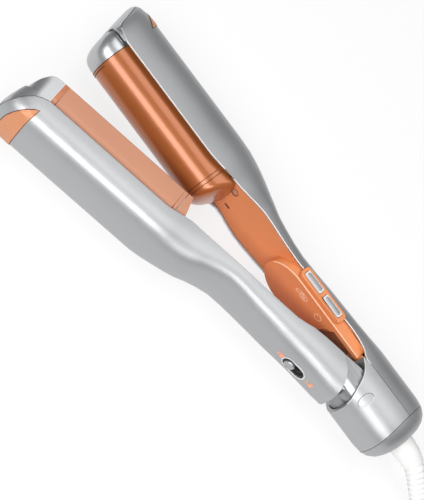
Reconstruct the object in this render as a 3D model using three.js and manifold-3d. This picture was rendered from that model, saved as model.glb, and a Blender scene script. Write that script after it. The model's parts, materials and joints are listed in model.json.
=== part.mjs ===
// Hair waver: a base arm with a convex half-round barrel and a clamp arm with the matching trough, hinged at
// the cord end. Millimetres. X runs from the hinge to the tips along the base arm, Y from the base arm to the
// clamp arm, and Z is up: the device lies on its side, with its hinge pin upright and the arms open.
import * as THREE from "three";
import { mergeVertices } from "three/addons/utils/BufferGeometryUtils.js";
import Module from "manifold-3d";

const wasm = await Module();
wasm.setup();

// Fits
const fitGap = 0.3;
const nestGap = 0.6;
const slideGap = 0.25;
const weldStep = 0.02;

// Arms. Heights along Y are from the hinge pin, in the closed position.
const openAngle = 13.8;
const plateHalfWidth = 21;
const shellWall = 1.8;
const plateRear = 155;
const plateFront = 246.5;
const basePlateRimY = -14.5;
const baseHandleRimY = -20;
const clampPlateRimY = -7;
const clampHandleRimY = -11.3;
const clampRearRimY = -14;
const sideBand = 5;

// Heated plates
const barrelRadius = 16;
const barrelWall = 1.6;
const barrelAxisY = -14.5;
const barrelSkirt = 11.5;
const troughWall = 1.5;
const troughDrop = 10;

// Rear body
const headCentreY = -13.2;
const headHalfHeight = 22.3;
const headSeamY = -16;
const headRear = -35;
const capSeamX = -23.5;
const capSeamBow = 3;
const headWall = 2.2;
const headFloorY = -14.2;
const pinRadius = 2.2;
const knuckleRadius = 4.9;
const neckInset = 2.8;
const neckHalfWidth = 12.4;
const pivotCapLong = 8.8;
const pivotCapShort = 5.9;
const pivotCapThick = 0.8;
const pinHalfLength = 14.4;

// Controls on the handle
const panelThick = 1.5;
const panelDrop = 0.3;
const blockHeight = 5.8;
const blockHalfWidth = 15.4;
const blockFront = 96.3;
const blockShoulder = 77;
const blockRear = 21;
const bezelRear = 43.4;
const bezelFront = 81;
const bezelLow = -24.2;
const bezelHigh = -15.9;
const bezelProud = 2.9;
const bezelFace = blockHalfWidth + bezelProud;
const buttonWidth = 4.2;
const buttonLength = 14.5;
const buttonFrontX = 71.2;
const buttonRearX = 53.8;
const buttonProud = 0.6;
const buttonTravel = 0.8;
const screwX = 141;
const screwZ = 8;

// Slide lock on the clamp arm
const lockX = 41.6;
const lockTravel = 6;
const knobRadius = 3.6;
const lockSlotLength = lockTravel + 2 * knobRadius + 1.8;
const lockSlotWidth = 2 * knobRadius + 0.9;

// Cord
const cordRadius = 3.25;
const bootRadius = 8;
const bootEndRadius = 5.6;
const bootLength = 46;
const coilTurns = 7;
const coilMeanRadius = 35.75;
const coilPitch = 7;
const tieThick = 1;
const plugThick = 13.7;
const plugLength = 35;
const plugLead = 52;
const pinPitch = 19;

// A function through a few stations [x, value], without overshoot between them.
function curve(stations) {
  const slopes = stations.map((s, i) => {
    if (i === 0 || i === stations.length - 1) return 0;
    const before = (s[1] - stations[i - 1][1]) / (s[0] - stations[i - 1][0]);
    const after = (stations[i + 1][1] - s[1]) / (stations[i + 1][0] - s[0]);
    return before * after <= 0 ? 0 : (2 * before * after) / (before + after);
  });
  return (x) => {
    if (x <= stations[0][0]) return stations[0][1];
    const last = stations.length - 1;
    if (x >= stations[last][0]) return stations[last][1];
    const i = stations.findIndex((s) => s[0] > x) - 1;
    const step = stations[i + 1][0] - stations[i][0];
    const t = (x - stations[i][0]) / step;
    const rise = stations[i + 1][1] - stations[i][1];
    const a = slopes[i] * step;
    const b = slopes[i + 1] * step;
    return stations[i][1] + t * (a + t * (3 * rise - 2 * a - b + t * (a + b - 2 * rise)));
  };
}

// Solids and geometries
function solidOf(geometry) {
  const plain = geometry.clone();
  plain.deleteAttribute("normal");
  plain.deleteAttribute("uv");
  const merged = mergeVertices(plain, 1e-4);
  return new wasm.Manifold(
    new wasm.Mesh({
      numProp: 3,
      vertProperties: merged.attributes.position.array,
      triVerts: new Uint32Array(merged.index.array),
    }),
  );
}

function geometryOf(solid) {
  const mesh = solid.getMesh();
  const geometry = new THREE.BufferGeometry();
  geometry.setAttribute("position", new THREE.BufferAttribute(mesh.vertProperties, 3));
  geometry.setIndex(new THREE.BufferAttribute(mesh.triVerts, 1));
  const flat = geometry.toNonIndexed();
  flat.computeVertexNormals();
  return flat;
}

// A closed surface through rings of equal count, which turn from +Y to +Z and follow one another along +X
function loft(rings) {
  const size = rings[0].length;
  const points = rings.flat();
  const middle = (ring) =>
    ring.reduce((sum, p) => sum.add(p), new THREE.Vector3()).divideScalar(size);
  points.push(middle(rings[0]), middle(rings[rings.length - 1]));
  const start = points.length - 2;
  const end = points.length - 1;
  const lastRing = (rings.length - 1) * size;
  const indices = [];
  for (let i = 0; i < size; i++) {
    const next = (i + 1) % size;
    for (let r = 0; r < lastRing; r += size) {
      indices.push(r + i, r + next, r + size + i);
      indices.push(r + next, r + size + next, r + size + i);
    }
    indices.push(start, next, i);
    indices.push(end, lastRing + i, lastRing + next);
  }
  const geometry = new THREE.BufferGeometry();
  geometry.setFromPoints(points);
  geometry.setIndex(indices);
  return solidOf(geometry);
}

// A cross-section at x: an upper and a lower superellipse quarter pair with a straight band between them.
const upperSteps = 14;
const lowerSteps = 16;
function sectionRing(s) {
  const half = (steps, from, rise, level, power) =>
    Array.from({ length: steps + 1 }, (_, i) => {
      const t = from + (Math.PI * i) / steps;
      const across = Math.sign(Math.sin(t)) * Math.abs(Math.sin(t)) ** (2 / power);
      const up = Math.abs(Math.cos(t)) ** (2 / power);
      const y = level + rise * up;
      return new THREE.Vector3(s.x + (s.lean ?? 0) * (s.leanY - y || 0), y, s.halfWidth * across);
    });
  const top = half(upperSteps, -Math.PI / 2, s.up, s.level, s.upPower ?? s.power);
  const bottom = half(lowerSteps, Math.PI / 2, -s.down, s.level - s.band, s.power);
  return [...top, ...bottom];
}

// A smooth line through [a, b] points
function smoothLine(points, count = 24) {
  const line = new THREE.SplineCurve(points.map(([a, b]) => new THREE.Vector2(a, b)));
  return line.getPoints(count).map((p) => [p.x, p.y]);
}

// Straight prisms from outlines given as [a, b] points
function prism(outline, depth, holes = []) {
  const isShape = outline instanceof THREE.Shape;
  const shape = isShape ? outline : new THREE.Shape(outline.map((p) => new THREE.Vector2(...p)));
  shape.holes.push(...holes);
  return new THREE.ExtrudeGeometry(shape, { depth, bevelEnabled: false, curveSegments: 8 });
}

function prismZ(outline, z0, z1) {
  return solidOf(prism(outline, z1 - z0).translate(0, 0, z0));
}

function prismX(outline, x0, x1) {
  const turn = new THREE.Matrix4().makeBasis(
    new THREE.Vector3(0, 1, 0),
    new THREE.Vector3(0, 0, 1),
    new THREE.Vector3(1, 0, 0),
  );
  return solidOf(prism(outline, x1 - x0).applyMatrix4(turn).translate(x0, 0, 0));
}

function prismY(outline, y0, y1) {
  return solidOf(prism(outline, y1 - y0).rotateX(-Math.PI / 2).translate(0, y0, 0));
}

function box(x0, x1, y0, y1, z0, z1) {
  const geometry = new THREE.BoxGeometry(x1 - x0, y1 - y0, z1 - z0);
  return solidOf(geometry.translate((x0 + x1) / 2, (y0 + y1) / 2, (z0 + z1) / 2));
}

function cylinderZ(x, y, radius, z0, z1, sides = 24) {
  const geometry = new THREE.CylinderGeometry(radius, radius, z1 - z0, sides);
  return solidOf(geometry.rotateX(Math.PI / 2).translate(x, y, (z0 + z1) / 2));
}

function cylinderY(x, z, radius, y0, y1, sides = 20) {
  const geometry = new THREE.CylinderGeometry(radius, radius, y1 - y0, sides);
  return solidOf(geometry.translate(x, (y0 + y1) / 2, z));
}

function stadium(length, width) {
  const shape = new THREE.Shape();
  const reach = (length - width) / 2;
  shape.absarc(reach, 0, width / 2, -Math.PI / 2, Math.PI / 2, false);
  shape.absarc(-reach, 0, width / 2, Math.PI / 2, (3 * Math.PI) / 2, false);
  return shape;
}

function roundedRectangle(x0, x1, y0, y1, radius) {
  const shape = new THREE.Shape();
  shape.absarc(x1 - radius, y0 + radius, radius, -Math.PI / 2, 0, false);
  shape.absarc(x1 - radius, y1 - radius, radius, 0, Math.PI / 2, false);
  shape.absarc(x0 + radius, y1 - radius, radius, Math.PI / 2, Math.PI, false);
  shape.absarc(x0 + radius, y0 + radius, radius, Math.PI, (3 * Math.PI) / 2, false);
  return shape;
}

// Outer form of the base arm and rear body
const onHandle = (share) => share * plateRear;
const baseRim = curve([
  [onHandle(0.88), baseHandleRimY],
  [onHandle(1.0), basePlateRimY - 2],
  [onHandle(1.08), basePlateRimY],
]);
const baseHalfWidth = curve([
  [0, plateHalfWidth],
  [onHandle(0.155), blockHalfWidth + 3.1],
  [onHandle(0.3), blockHalfWidth + 1.9],
  [onHandle(0.53), blockHalfWidth + 1.9],
  [onHandle(0.66), 19.3],
  [onHandle(0.775), plateHalfWidth],
  [onHandle(0.91), 17.6],
  [onHandle(0.965), 19.3],
  [onHandle(1.0), 20.2],
  [onHandle(1.08), plateHalfWidth],
]);
const baseBottom = curve([
  [0, headCentreY - headHalfHeight],
  [onHandle(0.155), -34.1],
  [onHandle(0.35), -33],
  [onHandle(0.59), -30.1],
  [onHandle(0.72), -32.2],
  [onHandle(0.775), -35.2],
  [onHandle(0.835), -39.9],
  [onHandle(0.91), -45.1],
  [onHandle(1.0), -47.1],
  [onHandle(1.08), -47.3],
]);

// Rear body stations: [distance behind its full section, share of the full section]
const rearTaper = [[9.3, 0.97], [5.5, 0.89], [2.5, 0.76], [0.7, 0.6], [0, 0.46]];
// Tip stations: [distance ahead of the plates, half width, bottom rise, lean]
const tipTaper = [[3, 21, 0, 0.03], [9, 20.6, 0.3, 0.1], [12.4, 19.2, 1, 0.17], [14.6, 16.6, 2.2, 0.22],
  [16, 12.8, 4, 0.24], [16.8, 8.6, 6.4, 0.24]];
const headPower = 2.4;
const shellPower = 2.6;

function baseForm(inset = 0) {
  const rings = [];
  const ring = (x, level, halfWidth, up, down, band, power, lean = 0) =>
    rings.push(sectionRing({ x, level, halfWidth, up, down, band, power, lean, leanY: headCentreY - 10 }));
  for (const [ahead, share] of rearTaper.toReversed()) {
    const half = headHalfHeight * share - inset;
    ring(headRear + ahead, headCentreY, plateHalfWidth * share - inset, half, half, 0.5, headPower);
  }
  for (const x of [-20, -10, 0, 8, 14]) {
    ring(x, headCentreY, plateHalfWidth - inset, headHalfHeight - inset, headHalfHeight - inset, 0.5,
      headPower);
  }
  for (const share of [0.17, 0.24, 0.32, 0.4, 0.48, 0.56, 0.62, 0.68, 0.73, 0.78, 0.825, 0.87, 0.91, 0.95,
    1, 1.04, 1.08]) {
    const x = onHandle(share);
    const rim = baseRim(x);
    const band = 1 + (sideBand - 1) * THREE.MathUtils.smoothstep(share, 0.9, 1.08);
    ring(x, rim, baseHalfWidth(x) - inset, 1, rim - band - baseBottom(x) - inset, band, shellPower);
  }
  const depth = basePlateRimY - sideBand - baseBottom(plateFront);
  ring(plateFront - 1, basePlateRimY, plateHalfWidth - inset, 1, depth - inset, sideBand, shellPower);
  for (const [ahead, halfWidth, rise, lean] of tipTaper) {
    const x = plateFront + ahead - inset;
    ring(x, basePlateRimY, halfWidth - inset, 1, depth - rise - inset, sideBand, shellPower, lean);
  }
  return loft(rings);
}

const baseOuter = baseForm();
const baseInner = baseForm(shellWall);
const baseFill = baseForm(shellWall + fitGap);

// The parting line between the shell below and the rear body and nose above
const far = 60;
function baseSeam(offset) {
  const points = [[headRear - far, headSeamY + offset]];
  const rise = [[15.5, headSeamY], [18.5, headSeamY - 0.7], [22, -19.4], [27, -21.4], [34, -22.6], [41,
    -22.8],
    [60, -22], [84, -20.6], [100, baseHandleRimY]];
  points.push(...smoothLine(rise).map(([x, y]) => [x - offset, y + offset]));
  for (const share of [0.88, 0.91, 0.94, 0.97, 1, 1.03, 1.06, 1.08]) {
    points.push([onHandle(share), baseRim(onHandle(share)) + offset]);
  }
  return points;
}
const noseSeam = (offset) =>
  [[0.6, 0], [5.5, -1.1], [10, -3], [12.3, -7], [13.7, -12.5], [15.4, -18], [17.4, -24.5], [20, -31]].map(
    ([ahead, below]) => [plateFront + ahead + offset, basePlateRimY + below + offset]);
const belowSeam = prismZ(
  [[headRear - far, -2 * far], ...baseSeam(0), ...noseSeam(0), [plateFront + far, -far],
    [plateFront + far, -2 * far]],
  -far,
  far,
);

// Pads on the outer tips, seen from the side: a point on the rim side that widens to the outer face
const padOutline = [[0.5, 0], [6.3, 4.2], [11.9, 9], [16, 12.3], [22, 13.5], [22, 40], [1.8, 40], [1.8,
  9], [0.9, 4]];
const basePadY = -36.5;
const clampPadY = 1.5;
const padThick = 1.4;
const padProud = 0.4;
const betweenFlats = box(-far, plateFront + far, -2 * far, 2 * far, -plateHalfWidth, plateHalfWidth);
const padPrism = (rimY, direction, offset) =>
  prismZ(
    direction > 0
      ? padOutline.map(([x, y]) => [plateFront + x - offset * 0.5, rimY + y - offset])
      : padOutline.map(([x, y]) => [plateFront + x - offset * 0.5, rimY - y + offset]).toReversed(),
    -far,
    far,
  );

// Behind the bowed seam of the rear cap
function behindCapSeam(offset) {
  const points = [];
  for (let i = -6; i <= 6; i++) {
    const y = headCentreY + (i / 6) * (headHalfHeight + 3);
    points.push([capSeamX - capSeamBow * (i / 6) ** 2 + offset, y]);
  }
  return prismZ([...points, [headRear - 20, 20], [headRear - 20, -60]], -far, far);
}

// Oval pivot covers, seen along the pin
function pivotOval(grow) {
  const shape = new THREE.Shape();
  shape.absellipse(0, 0, pivotCapShort / 2 + grow, pivotCapLong / 2 + grow, 0, 2 * Math.PI);
  return shape;
}

// The rear body's own cross-section, drawn straight along X
function headSection(inset, x0, x1) {
  const half = headHalfHeight - inset;
  return loft([x0, x1].map((x) =>
    sectionRing({
      x, level: headCentreY, halfWidth: plateHalfWidth - inset, up: half, down: half, band: 0.5,
        power: headPower,
    })));
}

// Base arm
const group = new THREE.Group();
const device = new THREE.Group();
device.position.set(0, -headCentreY, plateHalfWidth);
group.add(device);
const clampArm = new THREE.Group();
clampArm.rotation.z = THREE.MathUtils.degToRad(openAngle);
device.add(clampArm);

const finish = (color, roughness, metalness) => new THREE.MeshStandardMaterial({ color, roughness,
  metalness });
const silver = finish(0xb9bbbf, 0.38, 0.6);
const bright = finish(0xd4d5d8, 0.2, 0.8);
const copper = finish(0xb8683c, 0.25, 0.5);
const orange = finish(0xdb8152, 0.5, 0);
const white = finish(0xf2f1ef, 0.55, 0);
const dark = finish(0x3a3431, 0.6, 0);
const steel = finish(0x9a9da1, 0.35, 0.9);
const ceramic = finish(0xe6dfd2, 0.7, 0);

function add(parent, name, solid, material) {
  const mesh = new THREE.Mesh(geometryOf(solid.simplify(weldStep)), material);
  mesh.name = name;
  parent.add(mesh);
}

const handlePanelY = baseHandleRimY - panelDrop;
const screwPostTop = handlePanelY - panelThick - 2.5;

function blockOutline(inset) {
  const shape = new THREE.Shape();
  shape.moveTo(blockRear + inset, -blockHalfWidth + inset);
  shape.lineTo(blockShoulder, -blockHalfWidth + inset);
  shape.absellipse(blockShoulder, 0, blockFront - blockShoulder - inset, blockHalfWidth - inset,
    -Math.PI / 2, Math.PI / 2, false);
  shape.lineTo(blockRear + inset, blockHalfWidth - inset);
  return shape;
}

const bezelOutline = (grow) =>
  roundedRectangle(bezelRear - grow, bezelFront + grow, bezelLow - grow, bezelHigh + grow, 3 + grow);
const buttonY = (bezelLow + bezelHigh) / 2;
const bezelBack = blockHalfWidth + fitGap;

function buttonOutline(x, grow) {
  const halfLength = buttonLength / 2 + grow;
  const halfWidth = buttonWidth / 2 + grow;
  return roundedRectangle(x - halfLength, x + halfLength, buttonY - halfWidth, buttonY + halfWidth,
    0.8 + grow);
}

// Where the trough and its end block lie when the arms are closed
const troughInner = barrelRadius + nestGap;
const troughOuter = troughInner + troughWall;
const troughEdgeY = barrelAxisY - troughDrop;
const endBlockFront = plateRear - 1 - fitGap;
function closedTrough(grow) {
  return prismX(archOutline(troughOuter + grow, 1, troughDrop + grow), endBlockFront - 9, plateFront)
    .intersect(endBlockSide(grow));
}
const endBlockSide = (grow) => prismZ(
  [[endBlockFront - 3 - grow, troughEdgeY - 1], [endBlockFront - 7.2 - grow, clampPlateRimY],
    [endBlockFront - 8 - grow, far], [far * 5, far], [far * 5, troughEdgeY - 1]], -far, far);

function buildBaseArm() {
  const capSpace = behindCapSeam(fitGap);
  const shellSkin = baseOuter.intersect(belowSeam).subtract(baseInner).subtract(capSpace);
  const screwPost = cylinderY(screwX, screwZ, 3, -far, screwPostTop).intersect(baseForm(0.6))
    .subtract(cylinderY(screwX, screwZ, 1.7, screwPostTop - 6, 0));
  const notch = prismZ(bezelOutline(fitGap), bezelBack - fitGap - 1.5, far);
  const padSpace = padPrism(basePadY, -1, fitGap);
  const padFloor = baseForm(padThick + fitGap);
  const padSeat = padPrism(basePadY, -1, -1.2).intersect(baseForm(padThick + fitGap))
    .subtract(baseForm(padThick + shellWall + fitGap))
    .intersect(belowSeam);
  const shell = shellSkin
    .subtract(padSpace.subtract(padFloor))
    .add(padSeat)
    .add(screwPost)
    .subtract(notch)
    .subtract(closedTrough(fitGap))
    .subtract(noseWalls(fitGap));
  add(device, "base_shell", shell, silver);
  const pad = padPrism(basePadY, -1, 0).intersect(baseForm(-padProud)).intersect(betweenFlats)
    .subtract(baseForm(padThick));
  add(device, "base_tip_pad", pad, orange);

  // Rear body above the parting line, with the two ears
  const earEdge = smoothLine([[3.6, 12], [3.8, 8.4], [4.9, 5.6], [6.7, 2.6], [9, -2.2], [11.6, -7.4],
    [14.6, -11.6],
    [18.5, -14.9], [21, headSeamY - 3]]);
  const front = [[headRear - 5, headSeamY + fitGap], [headRear - 5, 30], [3.6, 30], ...earEdge]
    .filter(([, y]) => y > headSeamY + fitGap - 0.001);
  front.push([earEdge.find(([, y]) => y < headSeamY + fitGap)[0], headSeamY + fitGap]);
  const pivotSpace = prismZ(pivotOval(fitGap), -far, far).subtract(baseForm(pivotCapThick + fitGap));
  const cavityRear = -12;
  const bossTop = neckHalfWidth + fitGap;
  const bosses = cylinderZ(0, 0, knuckleRadius, -far, -bossTop).add(cylinderZ(0, 0, knuckleRadius,
    bossTop, far));
  const cavity = headSection(headWall, cavityRear, 40)
    .intersect(box(cavityRear, 40, headFloorY, far, -far, far))
    .subtract(bosses);
  const head = baseOuter.intersect(prismZ(front, -far, far)).subtract(capSpace)
    .subtract(cavity)
    .subtract(box(-40, cavityRear + 1, -30, -1, -8, 8))
    .subtract(cylinderZ(0, 0, pinRadius + slideGap, -far, far))
    .subtract(pivotSpace);
  add(device, "head_housing", head, silver);
  const covers = prismZ(pivotOval(0), -far, far).intersect(baseOuter).subtract(baseForm(pivotCapThick));
  add(device, "pivot_cap_upper", covers.intersect(box(-far, far, -far, far, 0, far)), silver);
  add(device, "pivot_cap_lower", covers.intersect(box(-far, far, -far, far, -far, 0)), silver);
  add(device, "pivot_pin", cylinderZ(0, 0, pinRadius, -pinHalfLength, pinHalfLength), steel);
  buildSpring();

  const cordHole = cylinderZ(0, 0, 4.2, 0, 40).rotate([0, -90, 0]).translate([0, headCentreY, 0]);
  const capInner = baseForm(3).intersect(box(headRear + 3.2, 0, -60, 60, -60, 60));
  const rearCap = baseOuter.intersect(behindCapSeam(0)).subtract(capInner).subtract(cordHole);
  add(device, "rear_cap", rearCap, silver);
}

// Torsion spring round the pin, with one leg in the rear body
const springRadius = 3.8;
const springWire = 0.45;
const springPitch = 1.2;
const springTurns = 4;
const springHalf = (springPitch * springTurns) / 2 + springWire + fitGap;
function buildSpring() {
  const steps = 14;
  const points = [new THREE.Vector3(-9.5, -springRadius, (-springPitch * springTurns) / 2)];
  for (let i = 0; i <= steps * springTurns; i++) {
    const angle = -Math.PI / 2 + (2 * Math.PI * i) / steps;
    points.push(new THREE.Vector3(
      springRadius * Math.cos(angle), springRadius * Math.sin(angle),
        springPitch * (i / steps - springTurns / 2)));
  }
  add(device, "hinge_spring", sweep(points, springWire, 6), steel);
}

// Barrel, its end and nose
function archOutline(outer, inner, skirt) {
  const shape = new THREE.Shape();
  shape.moveTo(barrelAxisY - skirt, outer);
  shape.lineTo(barrelAxisY - skirt, inner);
  shape.lineTo(barrelAxisY, inner);
  shape.absarc(barrelAxisY, 0, inner, Math.PI / 2, -Math.PI / 2, true);
  shape.lineTo(barrelAxisY - skirt, -inner);
  shape.lineTo(barrelAxisY - skirt, -outer);
  shape.lineTo(barrelAxisY, -outer);
  shape.absarc(barrelAxisY, 0, outer, -Math.PI / 2, Math.PI / 2, false);
  return shape;
}

// Half-round body about the barrel's axis: stations [x, radius, lean]
function halfRound(stations, floor, grow = 0) {
  return loft(
    stations.map(([x, radius, lean]) =>
      sectionRing({
        x, lean, leanY: barrelAxisY, level: barrelAxisY, halfWidth: radius + grow, up: radius + grow,
          upPower: 2,
        power: 8, down: floor - 0.5, band: 0.5,
      })),
  );
}
// Nose of the barrel: stations [distance ahead of the plates, half width, crest above the axis]
const humpStations = [[0.3, 16, 16], [3.5, 16, 15.9], [6.5, 15.9, 15.3], [9, 15.5, 13.9], [11, 14.6, 11.6],
  [12.5, 13.3, 8.6], [13.5, 11.6, 5.2], [14.2, 9.6, 1.2]];
function hump(grow, floor) {
  const ring = (x, halfWidth, up) =>
    sectionRing({
      x, level: barrelAxisY, halfWidth: halfWidth + grow, up: up + grow, upPower: 2, power: 8,
        down: floor - 0.5, band: 0.5,
    });
  return loft([ring(plateFront + fitGap - grow, 16, 16),
    ...humpStations.slice(1).map(([ahead, halfWidth, up]) => ring(plateFront + ahead + grow, halfWidth,
      up))]);
}

// Side walls of the trough's nose: their plan, and the edge that rises from the trough's edge to the tip
function noseWallPlan(grow, inset) {
  const w = troughOuter + grow - inset;
  const front = plateFront + 16 + grow - inset;
  const shape = new THREE.Shape();
  shape.moveTo(plateFront - 3, -w);
  shape.lineTo(plateFront + 6.4, -w);
  shape.bezierCurveTo(plateFront + 10.5, -w + 0.2, front - 0.9, -w * 0.9, front, -w * 0.5);
  shape.lineTo(front, w * 0.5);
  shape.bezierCurveTo(front - 0.9, w * 0.9, plateFront + 10.5, w - 0.2, plateFront + 6.4, w);
  shape.lineTo(plateFront - 3, w);
  return shape;
}
function noseWalls(grow, inset = 0) {
  const edge = smoothLine([[4.5, 0], [6.5, 0.4], [8.3, 1.8], [10.3, 4.2], [12.1, 7.2], [13.6, 11], [14.9,
    15.2],
    [16, 19]])
    .map(([ahead, rise]) => [plateFront + ahead + grow, troughEdgeY + rise - grow]);
  const under = prismZ(
    [[plateFront - 3, troughEdgeY - grow], ...edge, [plateFront + far, troughEdgeY + 20],
      [plateFront + far, far],
      [plateFront - 3, far]], -far, far);
  return prismY(noseWallPlan(grow, inset), -far, clampPlateRimY + 4).intersect(under);
}

function buildBarrel() {
  const inner = barrelRadius - barrelWall;
  add(device, "barrel", prismX(archOutline(barrelRadius, inner, barrelSkirt), plateRear, plateFront),
    copper);
  const endStations = [[plateRear - fitGap, 16, 0], [plateRear - 5.2, 16, -0.28], [plateRear - 8, 15.5,
    -0.35],
    [plateRear - 9.5, 13.6, -0.35], [plateRear - 10.3, 10, -0.35], [plateRear - 10.7, 5,
      -0.35]].toReversed();
  const endFloor = barrelAxisY - handlePanelY - fitGap;
  const endCap = halfRound(endStations, endFloor).subtract(
    halfRound([[plateRear + 1, 13, 0], [plateRear - 6, 12.5, -0.2]].toReversed(), endFloor + 3));
  add(device, "barrel_end_cap", endCap, orange);

  const noseArea = prismZ(
    [...noseSeam(fitGap), [plateFront + far, -far], [plateFront + far, far], [plateFront + fitGap, far],
      [plateFront + fitGap, basePlateRimY + fitGap]],
    -far,
    far,
  );
  const pocket = noseWalls(fitGap + 0.05).subtract(prismY(noseWallPlan(-fitGap, troughWall), -far, far));
  const padSpace = padPrism(basePadY, -1, fitGap);
  const nose = baseOuter.intersect(noseArea)
    .intersect(box(0, plateFront + far, -far, basePlateRimY, -far, far))
    .subtract(pocket)
    .add(hump(0, barrelSkirt))
    .subtract(padSpace);
  add(device, "base_nose", nose, bright);

  const carrierFront = plateFront - 1.5;
  const trayTop = barrelAxisY - barrelSkirt - fitGap;
  const tray = baseFill
    .intersect(box(plateRear + 1, carrierFront, -60, trayTop, -60, 60))
    .subtract(box(plateRear + 5, carrierFront - 4, baseBottom(plateFront) + 6, 0, -12, 12));
  add(device, "barrel_carrier", tray, ceramic);
  const heaterTop = barrelAxisY + Math.sqrt((inner - fitGap) ** 2 - 81);
  add(device, "barrel_heater", box(plateRear + 8, carrierFront - 6, heaterTop - 1.8, heaterTop, -9, 9),
    ceramic);
  const clipTop = heaterTop - 1.8 - fitGap;
  const trayFloor = baseBottom(plateFront) + 6 + fitGap;
  const clip = box(plateRear + 20, carrierFront - 18, trayFloor, clipTop, -8, 8).subtract(
    box(plateRear + 10, carrierFront, trayFloor - 1, clipTop - 0.8, -7.2, 7.2));
  add(device, "barrel_clip", clip, steel);
}

function buildControls() {
  const slab = box(blockRear, plateRear - 6, handlePanelY - panelThick, handlePanelY, -60, 60)
    .intersect(baseFill);
  const top = handlePanelY + blockHeight;
  const under = handlePanelY - panelThick;
  const blockHollow = prismY(blockOutline(1.8), bezelLow - 1, top - 1.8);
  const pocket = new THREE.Shape();
  pocket.moveTo(blockRear - 3, -blockHalfWidth + 2.2);
  pocket.lineTo(blockRear - 3, blockHalfWidth - 3.6);
  pocket.lineTo(41, blockHalfWidth - 3.6);
  pocket.absarc(34, -3, 13, 0.6, -0.9, true);
  pocket.lineTo(36, -blockHalfWidth + 2.2);
  const mirrored = prismY(pocket, handlePanelY + 1.5, top + 5).mirror([0, 0, 1]);
  const stem = buttonLength / 2 + 1.2;
  const windows = [buttonFrontX, buttonRearX].map((x) =>
    box(x - stem, x + stem, buttonY - buttonWidth / 2 - 1.4, buttonY + buttonWidth / 2 + 1.4, 12.4, 40));
  let panel = slab
    .add(prismY(blockOutline(0), bezelLow, top).intersect(baseFill.add(box(0, 200, handlePanelY, 0, -60,
      60))))
    .subtract(blockHollow)
    .subtract(windows[0])
    .subtract(windows[1]);
  const pocketFloor = mirrored.translate([0, -1.5, 0]).intersect(prismY(blockOutline(0.6), under,
    handlePanelY + 1.5));
  panel = panel.subtract(mirrored).add(pocketFloor);
  const boss = cylinderY(screwX, screwZ, 4, screwPostTop + fitGap, under + 0.1).intersect(baseFill);
  panel = panel.add(boss)
    .subtract(cylinderY(screwX, screwZ, 2.7, handlePanelY - 1.4, 0))
    .subtract(cylinderY(screwX, screwZ, 1.8, -far, 0))
    .subtract(box(screwX - 5.5, screwX - 1.5, -far, 0, -7.3, -6));
  add(device, "inner_panel", panel, orange);
  const screw = cylinderY(screwX, screwZ, 2.4, handlePanelY - 1.1, handlePanelY - 0.2)
    .add(cylinderY(screwX, screwZ, 1.4, screwPostTop - 5, handlePanelY - 1));
  add(device, "panel_screw", screw, steel);

  let bezel = prismZ(bezelOutline(0), bezelBack, bezelFace);
  for (const x of [buttonFrontX, buttonRearX]) {
    bezel = bezel.subtract(prismZ(buttonOutline(x, slideGap), 0, far));
  }
  add(device, "button_bezel", bezel, orange);
  const flangeBack = bezelBack - fitGap - 1.2;
  for (const [name, x] of [["button_mode", buttonFrontX], ["button_power", buttonRearX]]) {
    const cap = prismZ(buttonOutline(x, 0), flangeBack, bezelFace + buttonProud);
    add(device, name, cap.add(prismZ(buttonOutline(x, 0.9), flangeBack, bezelBack - fitGap)), bright);
    const switchFront = flangeBack - buttonTravel - 0.1;
    add(device, name.replace("button", "switch"), box(x - 3, x + 3, buttonY - 3, buttonY + 3, 9.9,
      switchFront), dark);
  }
  add(device, "control_board", box(buttonRearX - 5, buttonFrontX + 9, buttonY - 6, top - 1.8 - fitGap, 8,
    9.6), dark);
}

// Outer form of the clamp arm, in its own frame: the base arm's frame when the arms are closed
const clampRim = curve([
  [onHandle(0.155), clampRearRimY],
  [onHandle(0.29), clampRearRimY],
  [onHandle(0.39), clampHandleRimY],
  [onHandle(0.9), clampHandleRimY],
  [onHandle(1.04), clampPlateRimY],
]);
const clampHalfWidth = curve([
  [onHandle(0.08), 17],
  [onHandle(0.25), 17.7],
  [onHandle(0.42), 17.7],
  [onHandle(0.55), 18],
  [onHandle(0.67), 19],
  [onHandle(0.84), 19],
  [onHandle(1.02), plateHalfWidth],
]);
const clampTop = curve([
  [onHandle(0.08), 8.8],
  [onHandle(0.25), 6.1],
  [onHandle(0.42), 3.8],
  [onHandle(0.55), 1.8],
  [onHandle(0.665), 0.5],
  [onHandle(0.755), 3.6],
  [onHandle(0.835), 8.8],
  [onHandle(0.92), 11.6],
  [onHandle(1.02), 12.5],
]);
const clampTipTaper = [[3, 21, 0, -0.02], [8, 20.6, 0.2, -0.03], [13, 19, 0.9, -0.05], [16.5, 16.2, 2.2,
  -0.08],
  [18.5, 12.5, 4.2, -0.1], [19.3, 8.5, 6.5, -0.1]];

function clampForm(inset = 0) {
  const rings = [];
  const ring = (x, rim, halfWidth, top, band, lean = 0) =>
    rings.push(sectionRing({
      x, level: rim + band, halfWidth: halfWidth - inset, up: top - rim - band - inset, down: 1,
        band: band + 0.001,
      power: shellPower, lean, leanY: clampPlateRimY,
    }));
  for (const share of [0.08, 0.14, 0.2, 0.26, 0.32, 0.4, 0.48, 0.56, 0.62, 0.68, 0.73, 0.78, 0.825, 0.87,
    0.92, 0.97, 1.02]) {
    const x = onHandle(share);
    const band = 1 + (sideBand - 1) * THREE.MathUtils.smoothstep(share, 0.88, 1.02);
    ring(x, clampRim(x), clampHalfWidth(x), clampTop(x), band);
  }
  const top = clampTop(plateFront);
  ring(plateFront - 1, clampPlateRimY, plateHalfWidth, top, sideBand);
  for (const [ahead, halfWidth, drop, lean] of clampTipTaper) {
    ring(plateFront + ahead - inset, clampPlateRimY, halfWidth, top - drop, sideBand, lean);
  }
  return loft(rings);
}

const clampOuter = clampForm();
const clampInner = clampForm(shellWall);
const clampFill = clampForm(shellWall + fitGap);

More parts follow.
